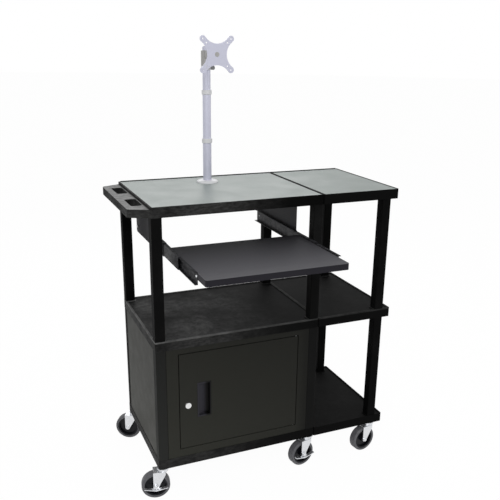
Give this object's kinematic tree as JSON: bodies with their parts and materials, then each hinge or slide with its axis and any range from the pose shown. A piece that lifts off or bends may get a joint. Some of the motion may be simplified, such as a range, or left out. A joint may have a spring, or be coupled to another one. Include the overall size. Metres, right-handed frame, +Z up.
{
  "type": "mobile presentation station",
  "caption": "Wheeled audio-visual cart with worktops, side shelves, a lockable cabinet, a pull-out keyboard tray and a post with a tilting monitor mounting plate",
  "frame": {"origin": "on the floor, below the middle of the whole outline at rest, with the tray pulled out", "axes": "+Z is up, the front with the cabinet door faces -Y, and +X points from the push handle to the side shelves"},
  "size_m": [0.979, 0.7992, 1.5725],
  "materials": {
    "black_resin": "moulded structural plastic, fine pebble grain",
    "gray_laminate": "laminate sheet, satin",
    "cabinet_steel": "dark powder coat, fine orange peel",
    "charcoal_board": "laminated board",
    "slide_steel": "zinc-plated slide steel",
    "silver_paint": "silver paint, satin",
    "plate_steel": "silver paint, satin",
    "white_plastic": "moulded plastic",
    "zinc": "bright zinc plate",
    "lock_chrome": "polished",
    "gray_rubber": "non-marking rubber",
    "navy_hub": "moulded wheel centre",
    "black_knob": "moulded plastic"
  },
  "bodies": {
    "frame": {"main_top_shelf": "black_resin", "main_middle_shelf": "black_resin", "main_base_shelf": "black_resin", "side_top_shelf": "black_resin", "side_middle_shelf": "black_resin", "side_base_shelf": "black_resin", "main_laminate": "gray_laminate", "side_laminate": "gray_laminate", "front_left_legs": "black_resin", "rear_left_legs": "black_resin", "front_center_legs": "black_resin", "rear_center_legs": "black_resin", "front_right_legs": "black_resin", "rear_right_legs": "black_resin", "cabinet_side_panels": "cabinet_steel", "cabinet_back_panel": "cabinet_steel", "cabinet_front_frame": "cabinet_steel", "door_hinge_pins": "zinc", "left_tray_hanger": "cabinet_steel", "right_tray_hanger": "cabinet_steel", "slide_outers": "slide_steel", "post_flange": "white_plastic", "post_tube": "silver_paint", "post_rings": "white_plastic", "caster_stems": "zinc", "frame_fasteners": "zinc"},
    "door": {"cabinet_door": "cabinet_steel", "door_pull": "black_resin", "lock_body": "lock_chrome"},
    "lock": {"lock_plug": "lock_chrome"},
    "middle_slides": {"slide_middles": "slide_steel"},
    "tray": {"slide_inners": "slide_steel", "tray_board": "charcoal_board", "tray_screws": "zinc"},
    "height_clamp": {"height_ring": "white_plastic"},
    "clamp_screw": {"clamp_screw": "black_knob"},
    "head": {"swivel_arm": "silver_paint", "tilt_bolt": "zinc"},
    "tilt_head": {"tilt_block": "silver_paint"},
    "mount_plate": {"mounting_plate": "plate_steel"},
    "front_left_swivel": {"front_left_fork": "zinc"},
    "front_left_roller": {"front_left_wheel": "navy_hub", "front_left_tyre": "gray_rubber"},
    "front_left_brake_bar": {"front_left_brake": "zinc"},
    "front_center_swivel": {"front_center_fork": "zinc"},
    "front_center_roller": {"front_center_wheel": "navy_hub", "front_center_tyre": "gray_rubber"},
    "front_center_brake_bar": {"front_center_brake": "zinc"},
    "front_right_swivel": {"front_right_fork": "zinc"},
    "front_right_roller": {"front_right_wheel": "navy_hub", "front_right_tyre": "gray_rubber"},
    "rear_left_swivel": {"rear_left_fork": "zinc"},
    "rear_left_roller": {"rear_left_wheel": "navy_hub", "rear_left_tyre": "gray_rubber"},
    "rear_center_swivel": {"rear_center_fork": "zinc"},
    "rear_center_roller": {"rear_center_wheel": "navy_hub", "rear_center_tyre": "gray_rubber"},
    "rear_right_swivel": {"rear_right_fork": "zinc"},
    "rear_right_roller": {"rear_right_wheel": "navy_hub", "rear_right_tyre": "gray_rubber"}
  },
  "joints": [
    {"name": "door_hinge", "type": "hinge", "parent": "frame", "child": "door", "pos_m": [0.09785, -0.08202, 0.36685], "axis": [0, 0, 1], "range_deg": [0, 105]},
    {"name": "lock_turn", "type": "hinge", "parent": "door", "child": "lock", "pos_m": [-0.31415, -0.08802, 0.35141], "axis": [0, 1, 0], "range_deg": [0, 90]},
    {"name": "tray_slide", "type": "slide", "parent": "frame", "child": "tray", "axis": [0, 1, 0], "range_m": [0, 0.32]},
    {"name": "middle_slide", "type": "slide", "parent": "frame", "child": "middle_slides", "axis": [0, 1, 0], "range_m": [0, 0.16]},
    {"name": "head_height", "type": "slide", "parent": "frame", "child": "height_clamp", "axis": [0, 0, 1], "range_m": [-0.065, 0.01]},
    {"name": "clamp_turn", "type": "hinge", "parent": "height_clamp", "child": "clamp_screw", "pos_m": [-0.11695, 0.25738, 1.4667], "axis": [0.5, -0.866, 0], "range_deg": [0, 180]},
    {"name": "head_swivel", "type": "hinge", "parent": "height_clamp", "child": "head", "pos_m": [-0.11695, 0.25738, 1.512], "axis": [0, 0, 1], "range_deg": [-90, 90]},
    {"name": "head_tilt", "type": "hinge", "parent": "head", "child": "tilt_head", "pos_m": [-0.11695, 0.17668, 1.512], "axis": [1, 0, 0], "range_deg": [-20, 20]},
    {"name": "plate_turn", "type": "hinge", "parent": "tilt_head", "child": "mount_plate", "pos_m": [-0.11695, 0.14738, 1.512], "axis": [0, 1, 0], "range_deg": [-90, 90]},
    {"name": "front_left_swivel_turn", "type": "hinge", "parent": "frame", "child": "front_left_swivel", "pos_m": [-0.40645, -0.07112, 0.118], "axis": [0, 0, 1], "continuous": true},
    {"name": "front_left_wheel_spin", "type": "hinge", "parent": "front_left_swivel", "child": "front_left_roller", "pos_m": [-0.43384, -0.0653, 0.0508], "axis": [-0.2079, -0.9781, 0], "continuous": true},
    {"name": "front_left_brake_rock", "type": "hinge", "parent": "front_left_swivel", "child": "front_left_brake_bar", "pos_m": [-0.43384, -0.0653, 0.0508], "axis": [-0.2079, -0.9781, 0], "range_deg": [-8, 8]},
    {"name": "front_center_swivel_turn", "type": "hinge", "parent": "frame", "child": "front_center_swivel", "pos_m": [0.16615, -0.07112, 0.118], "axis": [0, 0, 1], "continuous": true},
    {"name": "front_center_wheel_spin", "type": "hinge", "parent": "front_center_swivel", "child": "front_center_roller", "pos_m": [0.13858, -0.07598, 0.0508], "axis": [0.1736, -0.9848, 0], "continuous": true},
    {"name": "front_center_brake_rock", "type": "hinge", "parent": "front_center_swivel", "child": "front_center_brake_bar", "pos_m": [0.13858, -0.07598, 0.0508], "axis": [0.1736, -0.9848, 0], "range_deg": [-8, 8]},
    {"name": "front_right_swivel_turn", "type": "hinge", "parent": "frame", "child": "front_right_swivel", "pos_m": [0.44195, -0.07112, 0.118], "axis": [0, 0, 1], "continuous": true},
    {"name": "front_right_wheel_spin", "type": "hinge", "parent": "front_right_swivel", "child": "front_right_roller", "pos_m": [0.41422, -0.07502, 0.0508], "axis": [0.1392, -0.9903, 0], "continuous": true},
    {"name": "rear_left_swivel_turn", "type": "hinge", "parent": "frame", "child": "rear_left_swivel", "pos_m": [-0.40645, 0.34908, 0.118], "axis": [0, 0, 1], "continuous": true},
    {"name": "rear_left_wheel_spin", "type": "hinge", "parent": "rear_left_swivel", "child": "rear_left_roller", "pos_m": [-0.4307, 0.36308, 0.0508], "axis": [-0.5, -0.866, 0], "continuous": true},
    {"name": "rear_center_swivel_turn", "type": "hinge", "parent": "frame", "child": "rear_center_swivel", "pos_m": [0.16615, 0.34908, 0.118], "axis": [0, 0, 1], "continuous": true},
    {"name": "rear_center_wheel_spin", "type": "hinge", "parent": "rear_center_swivel", "child": "rear_center_roller", "pos_m": [0.13984, 0.3395, 0.0508], "axis": [0.342, -0.9397, 0], "continuous": true},
    {"name": "rear_right_swivel_turn", "type": "hinge", "parent": "frame", "child": "rear_right_swivel", "pos_m": [0.44195, 0.34908, 0.118], "axis": [0, 0, 1], "continuous": true},
    {"name": "rear_right_wheel_spin", "type": "hinge", "parent": "rear_right_swivel", "child": "rear_right_roller", "pos_m": [0.4149, 0.35633, 0.0508], "axis": [-0.2588, -0.9659, 0], "continuous": true}
  ],
  "couplings": [
    {"joint": "middle_slide", "follows": "tray_slide", "ratio": 0.5}
  ]
}
